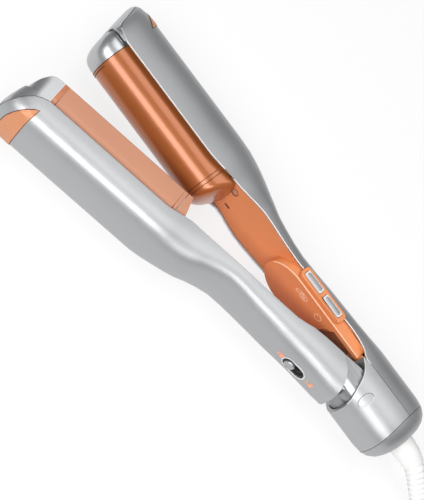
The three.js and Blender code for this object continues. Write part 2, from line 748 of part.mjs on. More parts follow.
// The space above the clamp arm's rim, raised by an offset
function aboveClampRim(offset, front) {
  const points = [];
  for (const share of [0.05, 0.155, 0.29, 0.32, 0.35, 0.39, 0.9, 0.93, 0.96, 1, 1.04]) {
    points.push([onHandle(share), clampRim(onHandle(share)) + offset]);
  }
  return [...points, [front, clampPlateRimY + offset], [front, far], [onHandle(0.05), far]];
}

// The nose's seam with the clamp shell, from the rim forward and up
const clampNoseSeam = (offset) =>
  [[0.6, 0], [4, 1], [8, 3.2], [12, 7], [15.5, 11], [19, 14.5], [26, 20]].map(([ahead, rise]) =>
    [plateFront + ahead + offset, clampPlateRimY + rise - offset]);

// Rear edge of the clamp shell, seen from the side
const clampRearEdge = [[26, -30], ...smoothLine(
  [[26, -14.5], [24, -13], [21.5, -10.9], [18.4, -7.4], [15.6, -0.9], [14.1, 5.7], [13.8, 12]], 16),
    [13.9, far]];

function buildClampShell() {
  const noseSpace = prismZ(
    [...clampNoseSeam(-fitGap), [plateFront + far, 30], [plateFront + far, -far], [plateFront + 0.3,
      -far]], -far, far);
  const padSpace = padPrism(clampPadY, 1, fitGap);
  const padSeat = padPrism(clampPadY, 1, -1.2).intersect(clampForm(padThick + fitGap))
    .subtract(clampForm(padThick + shellWall + fitGap)).subtract(noseSpace);
  const topY = clampTop(lockX);
  const slot = prismY(stadium(lockSlotLength + 2 * fitGap, lockSlotWidth + 2 * fitGap), topY - 4, topY + 4)
    .translate([lockX, 0, 0]);
  const shell = clampOuter
    .intersect(prismZ(aboveClampRim(0, plateFront + far), -far, far))
    .intersect(prismZ([...clampRearEdge, [plateFront + far, far], [plateFront + far, -30]], -far, far))
    .subtract(clampInner)
    .subtract(noseSpace)
    .subtract(padSpace.subtract(clampForm(padThick + fitGap)))
    .add(padSeat)
    .subtract(slot);
  add(clampArm, "clamp_shell", shell, silver);
  const pad = padPrism(clampPadY, 1, 0).intersect(clampForm(-padProud)).intersect(betweenFlats)
    .subtract(clampForm(padThick));
  add(clampArm, "clamp_tip_pad", pad, orange);
}

function buildTrough() {
  const inner = troughInner;
  const outer = troughOuter;
  const profile = archOutline(outer, inner, troughDrop);
  const front = plateFront;
  add(clampArm, "trough", prismX(profile, plateRear - 1, front), copper);
  const endBlock = prismX(profile, endBlockFront - 9, endBlockFront).intersect(endBlockSide(0));
  add(clampArm, "trough_end_block", endBlock, orange);

  const noseRear = plateFront + fitGap;
  const noseTopSpace = prismZ(
    [...clampNoseSeam(0), [plateFront + far, 30], [plateFront + far, clampPlateRimY - fitGap],
      [noseRear, clampPlateRimY - fitGap]], -far, far);
  const noseFront = prismZ(
    [[0, -far], [plateFront + 13, -26], ...smoothLine([[13.4, -15], [14.9, -9.5], [17.4, -2], [19.4, 5],
      [20.6, 14]], 10)
      .map(([ahead, y]) => [plateFront + ahead, y]), [plateFront + 20.6, far], [0, far]], -far, far);
  const padSpace = padPrism(clampPadY, 1, fitGap);
  const core = clampForm(shellWall + fitGap).intersect(box(0, plateFront + far, clampPlateRimY, far, -far,
    far));
  const nose = clampOuter.intersect(noseTopSpace)
    .intersect(box(0, plateFront + far, clampPlateRimY, far, -far, far))
    .add(noseWalls(0))
    .add(core.intersect(box(plateFront + 12, plateFront + far, -far, far, -far, far)))
    .subtract(box(-far, noseRear, -far, far, -far, far))
    .subtract(hump(nestGap, barrelSkirt + 10))
    .subtract(prismY(noseWallPlan(0, troughWall), -far, basePlateRimY + fitGap))
    .intersect(noseFront)
    .subtract(padSpace.subtract(clampForm(padThick + fitGap + shellWall + fitGap)));
  add(clampArm, "clamp_nose", nose, bright);

  const archTop = barrelAxisY + outer;
  const carrier = clampFill
    .intersect(box(plateRear + 1, plateFront - 1.5, clampPlateRimY + 1, far, -far, far))
    .subtract(prismX(archOutline(outer + fitGap, 1, 30), 0, plateFront + 5))
    .subtract(box(0, plateFront + 5, -far, barrelAxisY + 8, -outer - fitGap, outer + fitGap))
    .subtract(box(plateRear + 9, plateFront - 9, 0, archTop + 2.2, -9.3, 9.3));
  add(clampArm, "trough_carrier", carrier, ceramic);
  add(clampArm, "trough_heater",
    box(plateRear + 9.3, plateFront - 9.3, archTop + fitGap, archTop + 1.9, -9, 9), ceramic);
}

function buildClampRear() {
  const coverFront = plateRear - 9.5;
  const coverBand = prismZ(
    [...[0.2, 0.29, 0.32, 0.35, 0.39, 0.9, 0.93].map((share) => [onHandle(share),
      clampRim(onHandle(share)) + 0.4]),
      ...[0.93, 0.9, 0.39, 0.35, 0.32, 0.29, 0.2].map((share) => [onHandle(share),
        clampRim(onHandle(share)) + 1.9])],
    -far, far);
  const cover = clampFill.intersect(coverBand).intersect(box(0, coverFront, -far, far, -far, far));
  add(clampArm, "clamp_cover", cover, orange);

  const coverY = clampRearRimY + 2.2;
  const neckOutline = [[34, coverY], [34, 3.2], [20, 3.5], [8, 5.2], [2, knuckleRadius], [-4.2, 2.5],
    [-4.9, 0], [-4.2, -2.5],
    [-1, -6], [3, -9.6], [8, -12.6], [11, -13.7], [30.7, -13.7], [30.7, coverY]];
  const neckBlock = prismZ(neckOutline, -far, far);
  const behindShell = prismZ([...clampRearEdge.map(([x, y]) => [x - fitGap, y]), [-far, far], [-far,
    -30]], -far, far);
  const inRest = headSection(neckInset, -20, 60).rotate([0, 0, -openAngle]);
  const inClosed = headSection(neckInset, -20, 60);
  const neck = neckBlock.intersect(inRest).intersect(inClosed).intersect(behindShell)
    .add(neckBlock.intersect(clampFill).intersect(box(0, 40, -far, far, -neckHalfWidth, neckHalfWidth)))
    .subtract(cylinderZ(0, 0, pinRadius + slideGap, -far, far))
    .subtract(cylinderZ(0, 0, knuckleRadius + fitGap, neckHalfWidth, far))
    .subtract(cylinderZ(0, 0, knuckleRadius + fitGap, -far, -neckHalfWidth))
    .subtract(cylinderZ(0, 0, springRadius + springWire + 0.6, -springHalf, springHalf))
    .subtract(box(-20, 0, -far, far, -springHalf, springHalf));
  add(clampArm, "clamp_neck", neck, silver);

  const top = clampTop(lockX);
  const outline = (length, width, y0, y1) => prismY(stadium(length, width), y0, y1).translate([lockX, 0,
    0]);
  const guide = outline(lockSlotLength, lockSlotWidth, top - 3.2, top - 0.2)
    .subtract(outline(lockSlotLength - 1.2, lockSlotWidth - 0.6, top - 1.6, top + 1))
    .subtract(outline(lockTravel + 3.2, 3, top - 6, top + 1));
  add(clampArm, "lock_guide", guide, dark);
  const knobX = lockX + lockTravel / 2;
  const knobProfile = [[0, top - 1.3], [knobRadius, top - 1.3], [knobRadius, top + 0.4],
    [knobRadius - 0.5, top + 1.1],
    [knobRadius - 1.2, top + 1.1], [knobRadius - 1.6, top + 0.8], [0,
      top + 1.2]].map((p) => new THREE.Vector2(...p));
  const knob = solidOf(new THREE.LatheGeometry(knobProfile, 24)).translate([knobX, 0, 0])
    .add(cylinderY(knobX, 0, 1.2, top - 4.4, top - 1, 12));
  add(clampArm, "lock_slider", knob, silver);
  const bolt = box(knobX - 4, knobX + 4, top - 7, top - 3.5, -3, 3)
    .subtract(cylinderY(knobX, 0, 1.2 + fitGap, top - 4.8, top, 12));
  add(clampArm, "lock_bolt", bolt, steel);
}

// A tube of round sections along a path: stations [distance along the path, radius]
function tubeAlong(path, stations, sides) {
  const reach = path.getLength();
  const side = new THREE.Vector3(0, 0, 1);
  const rings = stations.map(([distance, radius]) => {
    const share = Math.min(distance / reach, 1);
    const at = path.getPointAt(share);
    const along = path.getTangentAt(share);
    const across = new THREE.Vector3().crossVectors(side, along).normalize();
    const up = new THREE.Vector3().crossVectors(along, across);
    return Array.from({ length: sides }, (_, i) => {
      const t = (2 * Math.PI * i) / sides;
      return at.clone().addScaledVector(across, radius * Math.cos(t))
        .addScaledVector(up, radius * Math.sin(t));
    });
  });
  return loft(rings);
}

// Cord, in the row's frame: it leaves the rear cap level, sinks to the table and runs to the coil.
const cordExit = new THREE.Vector3(headRear, 0, plateHalfWidth);
const tableCordZ = cordRadius + tieThick + 0.6;
const coilCentre = new THREE.Vector3(headRear - 150, 62, tableCordZ);
const coilOuterRadius = coilMeanRadius + (coilPitch * coilTurns) / 4;
const coilLayerRise = coilPitch;
const coilEntry = new THREE.Vector3(coilCentre.x, coilCentre.y - coilOuterRadius, tableCordZ);
const cordPoints = [
  cordExit,
  new THREE.Vector3(-45, 0.1, 20.9),
  new THREE.Vector3(-55, 1.6, 18.4),
  new THREE.Vector3(-65, 4.6, 13.4),
  new THREE.Vector3(-76, 8.2, 8.4),
  new THREE.Vector3(-90, 11.6, 5.4),
  new THREE.Vector3(-110, 14.2, tableCordZ),
  new THREE.Vector3(-140, 14.9, tableCordZ),
  new THREE.Vector3(coilEntry.x + 2 * cordRadius + fitGap, coilEntry.y, tableCordZ),
];

function buildCord() {
  const route = new THREE.CatmullRomCurve3(cordPoints, false, "centripetal");
  const bootStations = [[-fitGap, bootRadius], [3, bootRadius - 0.1], [9, bootRadius - 0.6], [15,
    bootRadius - 1.4]];
  const ribPitch = 3.3;
  const ribs = 9;
  for (let i = 0; i < ribs; i++) {
    const start = 16.5 + ribPitch * i;
    const radius = bootRadius - 1.5 - (i / ribs) * (bootRadius - 1.5 - bootEndRadius);
    bootStations.push([start, radius - 1], [start + 0.9, radius - 1], [start + 1.2, radius], [start + 2.7,
      radius]);
  }
  bootStations.push([bootLength - fitGap, bootEndRadius - 1]);
  const boot = tubeAlong(route, bootStations.map(([d, r]) => [Math.max(d, 0) + fitGap, r]), 14);
  add(group, "strain_relief", boot, white);

  const cordStart = bootLength + 2 * fitGap;
  const reach = route.getLength();
  const steps = 14;
  const cordStations = Array.from({ length: steps + 1 }, (_, i) => [
    cordStart + ((reach - cordStart) * i) / steps,
    cordRadius,
  ]);
  add(group, "cord", tubeAlong(route, cordStations, 10), white);
}

// The coil: one tube that spirals in, climbs a layer while the spiral reverses, and spirals out again
class CoilPath extends THREE.Curve {
  constructor() {
    super();
    this.lead = 2 * cordRadius;
    this.turnAngle = 2 * Math.PI * coilTurns;
  }
  radiusAt(angle) {
    const fromMiddle = Math.abs(angle - this.turnAngle / 2) / (2 * Math.PI);
    return coilOuterRadius - coilPitch * (coilTurns / 2 - fromMiddle);
  }
  pointAt(angle) {
    const climb = THREE.MathUtils.clamp((angle - this.turnAngle / 2) / Math.PI + 0.5, 0, 1);
    const radius = this.radiusAt(angle);
    const heading = -Math.PI / 2 - angle;
    return new THREE.Vector3(
      coilCentre.x + radius * Math.cos(heading),
      coilCentre.y + radius * Math.sin(heading),
      coilCentre.z + coilLayerRise * climb,
    );
  }
}
const coilPath = new CoilPath();
const coilStepsPerTurn = 24;
const coilSides = 6;

function coilPoints() {
  const points = [new THREE.Vector3(coilEntry.x + coilPath.lead, coilEntry.y, tableCordZ)];
  const steps = coilTurns * coilStepsPerTurn;
  for (let i = 0; i <= steps; i++) points.push(coilPath.pointAt((coilPath.turnAngle * i) / steps));
  const last = points[points.length - 1];
  const leadSteps = 6;
  for (let i = 1; i <= leadSteps; i++) {
    const drop = THREE.MathUtils.smoothstep(i, 0, leadSteps) * (last.z - plugThick / 2);
    points.push(new THREE.Vector3(last.x - (plugLead * i) / leadSteps, last.y, last.z - drop));
  }
  points.push(new THREE.Vector3(last.x - plugLead - coilPath.lead, last.y, plugThick / 2));
  return points;
}

function sweep(points, radius, sides) {
  const up = new THREE.Vector3(0, 0, 1);
  const rings = points.map((p, i) => {
    const before = points[Math.max(i - 1, 0)];
    const after = points[Math.min(i + 1, points.length - 1)];
    const along = after.clone().sub(before).normalize();
    const across = new THREE.Vector3().crossVectors(up, along).normalize();
    const over = new THREE.Vector3().crossVectors(along, across);
    return Array.from({ length: sides }, (_, k) => {
      const t = (2 * Math.PI * k) / sides;
      return p.clone().addScaledVector(across, radius * Math.cos(t))
        .addScaledVector(over, radius * Math.sin(t));
    });
  });
  return loft(rings);
}

function leastGap(points) {
  let least = Infinity;
  for (let i = 0; i < points.length; i++) {
    for (let j = i + coilStepsPerTurn / 2; j < points.length; j++) {
      least = Math.min(least, points[i].distanceTo(points[j]));
    }
  }
  return least - 2 * cordRadius;
}

function buildCoil() {
  const points = coilPoints();
  console.log("coil: least gap between turns " + leastGap(points).toFixed(2) + " mm");
  add(group, "cord_coil", sweep(points, cordRadius, coilSides), white);

  const innerRadius = coilOuterRadius - (coilPitch * coilTurns) / 2 - cordRadius - 1.5;
  const outerRadius = coilOuterRadius + cordRadius + 1;
  const low = coilCentre.z - cordRadius - 0.4;
  const high = coilCentre.z + coilLayerRise + cordRadius + 0.4;
  const loop = roundedRectangle(innerRadius - tieThick, outerRadius + tieThick, low - tieThick,
    high + tieThick, 3);
  const hole = roundedRectangle(innerRadius, outerRadius, low, high, 2);
  const tie = solidOf(prism(loop, 7, [hole]).translate(0, 0, -3.5))
    .rotate([90, 0, 0])
    .translate([coilCentre.x, coilCentre.y, 0]);
  add(group, "cord_tie", tie, dark);

  const end = points[points.length - 1];
  const plugX = end.x - fitGap;
  const z = end.z;
  const outline = [[plugX, -4.5], [plugX - 8, -6], [plugX - 14, -13], [plugX - plugLength, -13],
    [plugX - plugLength, 13], [plugX - 14, 13], [plugX - 8, 6], [plugX, 4.5]];
  const body = prismZ(outline, z - plugThick / 2, z + plugThick / 2).translate([0, end.y, 0]);
  add(group, "plug_body", body, white);
  for (const [name, side] of [["plug_pin_1", 1], ["plug_pin_2", -1]]) {
    const pin = cylinderZ(0, 0, 2, 0, pinPitch, 16).rotate([0, -90, 0])
      .translate([plugX - plugLength - fitGap, end.y + (side * pinPitch) / 2, z]);
    add(group, name, pin, steel);
  }
}

buildBaseArm();
buildBarrel();
buildControls();
buildClampShell();
buildTrough();
buildClampRear();
buildCord();
buildCoil();

export default group;
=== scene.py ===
import bpy
import bmesh
import json
import math
from mathutils import Matrix, Vector
from mathutils.bvhtree import BVHTree
from mathutils.kdtree import KDTree


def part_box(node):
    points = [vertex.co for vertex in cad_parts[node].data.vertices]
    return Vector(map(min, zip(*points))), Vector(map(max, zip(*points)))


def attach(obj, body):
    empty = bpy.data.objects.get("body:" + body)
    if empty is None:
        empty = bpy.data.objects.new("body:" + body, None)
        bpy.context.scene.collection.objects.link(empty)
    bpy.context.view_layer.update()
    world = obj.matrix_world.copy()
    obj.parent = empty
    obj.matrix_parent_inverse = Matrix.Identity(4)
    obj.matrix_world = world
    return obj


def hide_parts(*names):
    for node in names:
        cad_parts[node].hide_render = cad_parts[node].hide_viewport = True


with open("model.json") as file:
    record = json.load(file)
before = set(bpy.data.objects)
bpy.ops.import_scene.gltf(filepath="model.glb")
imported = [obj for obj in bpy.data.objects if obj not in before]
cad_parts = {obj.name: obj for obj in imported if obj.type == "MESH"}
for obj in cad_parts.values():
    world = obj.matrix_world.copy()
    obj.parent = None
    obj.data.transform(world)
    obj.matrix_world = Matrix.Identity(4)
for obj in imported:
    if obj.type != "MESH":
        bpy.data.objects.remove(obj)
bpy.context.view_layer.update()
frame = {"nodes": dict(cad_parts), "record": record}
nodes = frame["nodes"]
record = frame["record"]
bodyOf = {node: body for body, members in record["behaviour"]["bodies"].items() for node in members}
slotOf = {part["node"]: part["material_slot"] for part in record["subparts"]}
hinge = next(joint for joint in record["behaviour"]["joints"] if joint["name"] == "clamp_hinge")
pivot = Vector(hinge["pos_m"])
scene = bpy.context.scene
scene.view_settings.view_transform = "Standard"

# camera: 33 degrees off straight down, turned so that the arms point up and to the left
view = {
    "target": Vector((0.1219, 0.0248, 0.021)),
    "right": Vector((-0.599, -0.672, 0.436)),
    "up": Vector((0.801, -0.503, 0.3265)),
    "distance": 0.8,
    "width": 0.2459,  # what the picture's width shows at the target
    "sensor": 36,
    "nearest": 0.01,
}
backward = view["right"].cross(view["up"]).normalized()
cameraData = bpy.data.cameras.new("camera")
cameraData.sensor_fit = "HORIZONTAL"
cameraData.sensor_width = view["sensor"]
cameraData.lens = view["sensor"] * view["distance"] / view["width"]
cameraData.clip_start = view["nearest"]
camera = bpy.data.objects.new("camera", cameraData)
spot = view["target"] + backward * view["distance"]
turn = Matrix((view["right"], view["up"], backward)).transposed()
camera.matrix_world = Matrix.Translation(spot) @ turn.to_4x4()
scene.collection.objects.link(camera)
scene.camera = camera
print("camera in place")


def fresh(name, mesh):
    made = bpy.data.objects.new(name, mesh)
    scene.collection.objects.link(made)
    return made


def noiseOn(tree, place, scale, detail):
    noise = tree.nodes.new("ShaderNodeTexNoise")
    noise.inputs["Scale"].default_value = scale
    noise.inputs["Detail"].default_value = detail
    tree.links.new(place, noise.inputs["Vector"])
    return noise.outputs["Fac"]


# what a finish has unless its own look says otherwise
plainLook = {
    "metal": 0, "coat": 0, "coatRoughness": 0.1, "ior": 1.47,
    "stretch": (1, 1, 1),  # the patterns' scale along the object's axes
    "cloud": 30, "cloudDetail": 4, "cloudFrom": 0.3, "cloudTo": 0.7,  # soft clouds in colour and roughness
    "spread": 0.05, "roughSpread": 0.12,  # how far the clouds change the colour and the roughness
    "grain": 2500, "grainDetail": 2, "bump": 0.05, "depth": 0.00005,  # fine grain in the surface
}


def finished(name, changes):
    look = {**plainLook, **changes}
    made = bpy.data.materials.new(name)
    made.use_nodes = True
    tree = made.node_tree
    shader = tree.nodes["Principled BSDF"]
    shader.inputs["Metallic"].default_value = look["metal"]
    shader.inputs["Coat Weight"].default_value = look["coat"]
    shader.inputs["Coat Roughness"].default_value = look["coatRoughness"]
    shader.inputs["IOR"].default_value = look["ior"]
    place = tree.nodes.new("ShaderNodeTexCoord")
    stretch = tree.nodes.new("ShaderNodeMapping")
    stretch.inputs["Scale"].default_value = look["stretch"]
    tree.links.new(place.outputs["Object"], stretch.inputs["Vector"])

    clouds = noiseOn(tree, stretch.outputs["Vector"], look["cloud"], look["cloudDetail"])
    ramp = tree.nodes.new("ShaderNodeValToRGB")
    darker, lighter = ramp.color_ramp.elements
    darker.position = look["cloudFrom"]
    lighter.position = look["cloudTo"]
    darker.color = (*[part * (1 - look["spread"]) for part in look["colour"]], 1)
    lighter.color = (*[min(part * (1 + look["spread"]), 1) for part in look["colour"]], 1)
    tree.links.new(clouds, ramp.inputs["Fac"])
    tree.links.new(ramp.outputs["Color"], shader.inputs["Base Color"])
    span = tree.nodes.new("ShaderNodeMapRange")
    span.inputs["To Min"].default_value = look["rough"] * (1 - look["roughSpread"])
    span.inputs["To Max"].default_value = min(look["rough"] * (1 + look["roughSpread"]), 1)
    tree.links.new(clouds, span.inputs["Value"])
    tree.links.new(span.outputs["Result"], shader.inputs["Roughness"])

    bump = tree.nodes.new("ShaderNodeBump")
    bump.inputs["Strength"].default_value = look["bump"]
    bump.inputs["Distance"].default_value = look["depth"]
    tree.links.new(noiseOn(tree, stretch.outputs["Vector"], look["grain"], look["grainDetail"]),
                   bump.inputs["Height"])
    tree.links.new(bump.outputs["Normal"], shader.inputs["Normal"])
    return made


looks = {
    "satinSilver": {"colour": (0.46, 0.465, 0.475), "metal": 0.88, "rough": 0.47, "grain": 5000,
                    "bump": 0.012, "spread": 0.03},
    "brightSilver": {"colour": (0.5, 0.51, 0.52), "metal": 0.9, "rough": 0.34, "bump": 0.012, "spread": 0.02},
    "copperCoat": {"colour": (0.43, 0.128, 0.036), "metal": 0.3, "rough": 0.32, "coat": 0.6,
                   "coatRoughness": 0.17, "stretch": (0.2, 1, 1)},
    "matteOrange": {"colour": (0.76, 0.27, 0.10), "rough": 0.5, "grain": 6000, "bump": 0.12, "spread": 0.04},
    "whiteCord": {"colour": (0.82, 0.82, 0.81), "rough": 0.5, "grain": 3000, "bump": 0.08, "spread": 0.02},
    "darkPlastic": {"colour": (0.035, 0.03, 0.03), "rough": 0.5, "bump": 0.1},
    "plainSteel": {"colour": (0.5, 0.5, 0.51), "metal": 1, "rough": 0.3, "stretch": (1, 1, 6)},
    "paleCeramic": {"colour": (0.75, 0.7, 0.62), "rough": 0.8, "bump": 0.2, "depth": 0.0002},
    "darkSeam": {"colour": (0.10, 0.028, 0.012), "rough": 0.6},
    "iconOrange": {"colour": (0.86, 0.33, 0.18), "rough": 0.5},
    "iconPale": {"colour": (0.93, 0.62, 0.45), "rough": 0.45},
    # painted highlight: pale silver for the light on rims, edges and the buttons
    "silverEdgeHighlight": {"colour": (0.78, 0.78, 0.79), "metal": 0.3, "rough": 0.4, "spread": 0.02},
    # painted shade: dark brown for the shade in the scoop behind the control block
    "scoopPaintedShade": {"colour": (0.34, 0.115, 0.045), "rough": 0.55},
    # painted highlight: pale orange for the light along the control block's top edge
    "edgeHighlightOrange": {"colour": (0.95, 0.56, 0.38), "rough": 0.4},
    # painted shade: darker silver for the neck, which lies in shade between the ears
    "shadedNeckSilver": {"colour": (0.33, 0.335, 0.34), "metal": 0.9, "rough": 0.36},
    "leafCopper": {"colour": (0.60, 0.25, 0.12), "metal": 0.15, "rough": 0.42},
    "paleCopper": {"colour": (0.54, 0.245, 0.145), "metal": 0.1, "rough": 0.45, "stretch": (0.2, 1, 1),
                   "spread": 0.03},
}
finish = {name: finished(name, look) for name, look in looks.items()}
slotLook = {
    "silver_shell": "satinSilver",
    "bright_nose": "brightSilver",
    "copper_plate": "copperCoat",
    "orange_trim": "matteOrange",
    "white_cord": "whiteCord",
    "dark_plastic": "darkPlastic",
    "steel_parts": "plainSteel",
    "ceramic_inner": "paleCeramic",
}
for name, piece in nodes.items():
    piece.data.materials.clear()
    piece.data.materials.append(finish[slotLook[slotOf[name]]])
print("finishes made")

# cord: out of the boot, down to the table, round the coil and to the plug, in metres
cordSize = {"radius": 0.00325, "sides": 20, "tableZ": 0.00485, "stepsPerPoint": 8}
cordRoute = [
    (-0.035, 0, 0.021), (-0.045, 0.0001, 0.0209), (-0.055, 0.0016, 0.0184), (-0.065, 0.0046, 0.0134),
    (-0.076, 0.0082, 0.0084), (-0.090, 0.0116, 0.0054), (-0.110, 0.0142, 0.00485), (-0.140, 0.0149, 0.00485),
]
coil = {
    "centre": Vector((-0.185, 0.062, 0.00485)),
    "turns": 7, "stepsPerTurn": 48,
    "pitch": 0.007, "meanRadius": 0.03575, "rise": 0.007,
    "entryAhead": 0.0068,  # the cord meets the coil's line this far before its lowest point
    "lead": 0.052, "leadSteps": 12, "straight": 0.0065, "plugZ": 0.00685,  # from the coil to the plug
}
coil["outer"] = coil["meanRadius"] + coil["pitch"] * coil["turns"] / 4
smoothCorner = math.radians(50)  # edges sharper than this stay sharp in the pieces made here


def throughPoints(points, count):
    # a centripetal Catmull-Rom line through the points
    ends = [points[0] * 2 - points[1], *points, points[-1] * 2 - points[-2]]
    line = []
    for i in range(1, len(ends) - 2):
        p0, p1, p2, p3 = ends[i - 1:i + 3]
        t0 = 0
        t1 = t0 + (p1 - p0).length ** 0.5
        t2 = t1 + (p2 - p1).length ** 0.5
        t3 = t2 + (p3 - p2).length ** 0.5
        for k in range(count):
            t = t1 + (t2 - t1) * k / count
            a1 = p0 * ((t1 - t) / (t1 - t0)) + p1 * ((t - t0) / (t1 - t0))
            a2 = p1 * ((t2 - t) / (t2 - t1)) + p2 * ((t - t1) / (t2 - t1))
            a3 = p2 * ((t3 - t) / (t3 - t2)) + p3 * ((t - t2) / (t3 - t2))
            b1 = a1 * ((t2 - t) / (t2 - t0)) + a2 * ((t - t0) / (t2 - t0))
            b2 = a2 * ((t3 - t) / (t3 - t1)) + a3 * ((t - t1) / (t3 - t1))
            line.append(b1 * ((t2 - t) / (t2 - t1)) + b2 * ((t - t1) / (t2 - t1)))
    return line


def coilLine():
    # spirals in, climbs a layer half way, spirals out again and sinks to the plug
    full = 2 * math.pi * coil["turns"]
    steps = coil["turns"] * coil["stepsPerTurn"]
    line = []
    for i in range(steps + 1):
        angle = full * i / steps
        climb = min(max((angle - full / 2) / math.pi + 0.5, 0), 1)
        fromMiddle = abs(angle - full / 2) / (2 * math.pi)
        radius = coil["outer"] - coil["pitch"] * (coil["turns"] / 2 - fromMiddle)
        heading = -math.pi / 2 - angle
        line.append(coil["centre"] + Vector((radius * math.cos(heading), radius * math.sin(heading),
                                             coil["rise"] * climb)))
    last = line[-1]
    for i in range(1, coil["leadSteps"] + 1):
        s = i / coil["leadSteps"]
        drop = s * s * (3 - 2 * s) * (last.z - coil["plugZ"])
        line.append(Vector((last.x - coil["lead"] * s, last.y, last.z - drop)))
    line.append(Vector((last.x - coil["lead"] - coil["straight"], last.y, coil["plugZ"])))
    return line


def tube(name, line, radius, sides):
    # a closed round tube along the line
    mesh = bpy.data.meshes.new(name)
    points, faces = [], []
    for i, p in enumerate(line):
        along = (line[min(i + 1, len(line) - 1)] - line[max(i - 1, 0)]).normalized()
        across = Vector((0, 0, 1)).cross(along).normalized()
        over = along.cross(across)
        for k in range(sides):
            t = 2 * math.pi * k / sides
            points.append(p + radius * (math.cos(t) * across + math.sin(t) * over))
    for i in range(len(line) - 1):
        for k in range(sides):
            a, b = i * sides + k, i * sides + (k + 1) % sides
            faces.append((a, b, b + sides, a + sides))
    faces.append(tuple(reversed(range(sides))))
    faces.append(tuple(range(len(points) - sides, len(points))))
    mesh.from_pydata(points, [], faces)
    mesh.polygons.foreach_set("use_smooth", [True] * len(faces))
    mesh.set_sharp_from_angle(angle=smoothCorner)
    return fresh(name, mesh)


entry = Vector((coil["centre"].x + coil["entryAhead"], coil["centre"].y - coil["outer"], cordSize["tableZ"]))
freeLine = throughPoints([Vector(p) for p in cordRoute] + [entry], cordSize["stepsPerPoint"])
cordLine = [*freeLine, entry, *coilLine()]
cord = tube("mainsCord", cordLine, cordSize["radius"], cordSize["sides"])
cord.data.materials.append(finish["whiteCord"])
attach(cord, "root")
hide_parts("cord", "cord_coil")
print("cord laid")

refining = {"weld": 2e-6, "flatAngle": math.radians(0.4), "bevelSegments": 2}
easing = {
    "grid": 0.0035,  # how finely the faces are cut up
    "leastLikeness": 0.5,  # faces turned further than 60 degrees from each other don't blend
    "decimals": 2,  # faces that point alike to this many decimals share their result
    "ownShare": 1e-12,  # a corner with nothing alike near it keeps its face's direction
    "onPlane": 1e-6,  # points this near a cutting plane lie on it
}


def welded(mesh):
    work = bmesh.new()
    work.from_mesh(mesh)
    bmesh.ops.remove_doubles(work, verts=work.verts, dist=refining["weld"])
    bmesh.ops.dissolve_degenerate(work, edges=work.edges, dist=refining["weld"])
    return work


def diced(work):
    # cuts the faces along an even grid, so that their shading can change across them
    for axis in range(3):
        across = Vector((axis == 0, axis == 1, axis == 2))
        places = [v.co[axis] for v in work.verts]
        place = min(places) + easing["grid"]
        while place < max(places):
            bmesh.ops.bisect_plane(work, geom=[*work.verts, *work.edges, *work.faces],
                                   dist=easing["onPlane"], plane_co=across * place, plane_no=across)
            place += easing["grid"]


def eased(mesh, reach):
    # each corner faces the mean way of the skin within reach that points much as its own face does
    faces = [(face.center.copy(), face.normal.copy(), face.area) for face in mesh.polygons]
    tree = KDTree(len(faces))
    for i, (centre, _, _) in enumerate(faces):
        tree.insert(centre, i)
    tree.balance()
    near, known = {}, {}
    facing = [Vector()] * len(mesh.loops)
    for face in mesh.polygons:
        own = face.normal.copy()
        way = tuple(round(part, easing["decimals"]) for part in own)
        for corner in face.loop_indices:
            at = mesh.loops[corner].vertex_index
            if at not in near:
                near[at] = [(faces[i][1], faces[i][2] * (1 - (away / reach) ** 2))
                            for _, i, away in tree.find_range(mesh.vertices[at].co, reach)]
            if (at, way) not in known:
                mean = own * easing["ownShare"]
                for normal, weight in near[at]:
                    likeness = own.dot(normal) - easing["leastLikeness"]
                    if likeness > 0:
                        mean += normal * (weight * likeness)
                known[at, way] = mean.normalized()
            facing[corner] = known[at, way]
    mesh.normals_split_custom_set(facing)


def refined(name, node, sharp=32, bevel=0, look=None, ease=0):
    # the CAD node's own form, welded and smoothly shaded: ease softens the shading over its facets,
    # bevel rounds its edges
    mesh = nodes[node].data.copy()
    mesh.name = name
    work = welded(mesh)
    bmesh.ops.dissolve_limit(work, angle_limit=refining["flatAngle"], verts=work.verts, edges=work.edges)
    if ease:
        diced(work)
    work.to_mesh(mesh)
    work.free()
    mesh.polygons.foreach_set("use_smooth", [True] * len(mesh.polygons))
    mesh.set_sharp_from_angle(angle=math.radians(sharp))
    piece = fresh(name, mesh)
    if bevel:
        edge = piece.modifiers.new("roundedEdges", "BEVEL")
        edge.width = bevel
        edge.segments = refining["bevelSegments"]
        edge.limit_method = "ANGLE"
        edge.angle_limit = math.radians(sharp)
        edge.harden_normals = True
        edge.use_clamp_overlap = False
    if ease:
        eased(mesh, ease)
    else:
        even = piece.modifiers.new("evenShading", "WEIGHTED_NORMAL")
        even.keep_sharp = True
    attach(piece, bodyOf[node])
    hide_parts(node)
    piece.data.materials.clear()
    piece.data.materials.append(finish[look or slotLook[slotOf[node]]])
    return piece


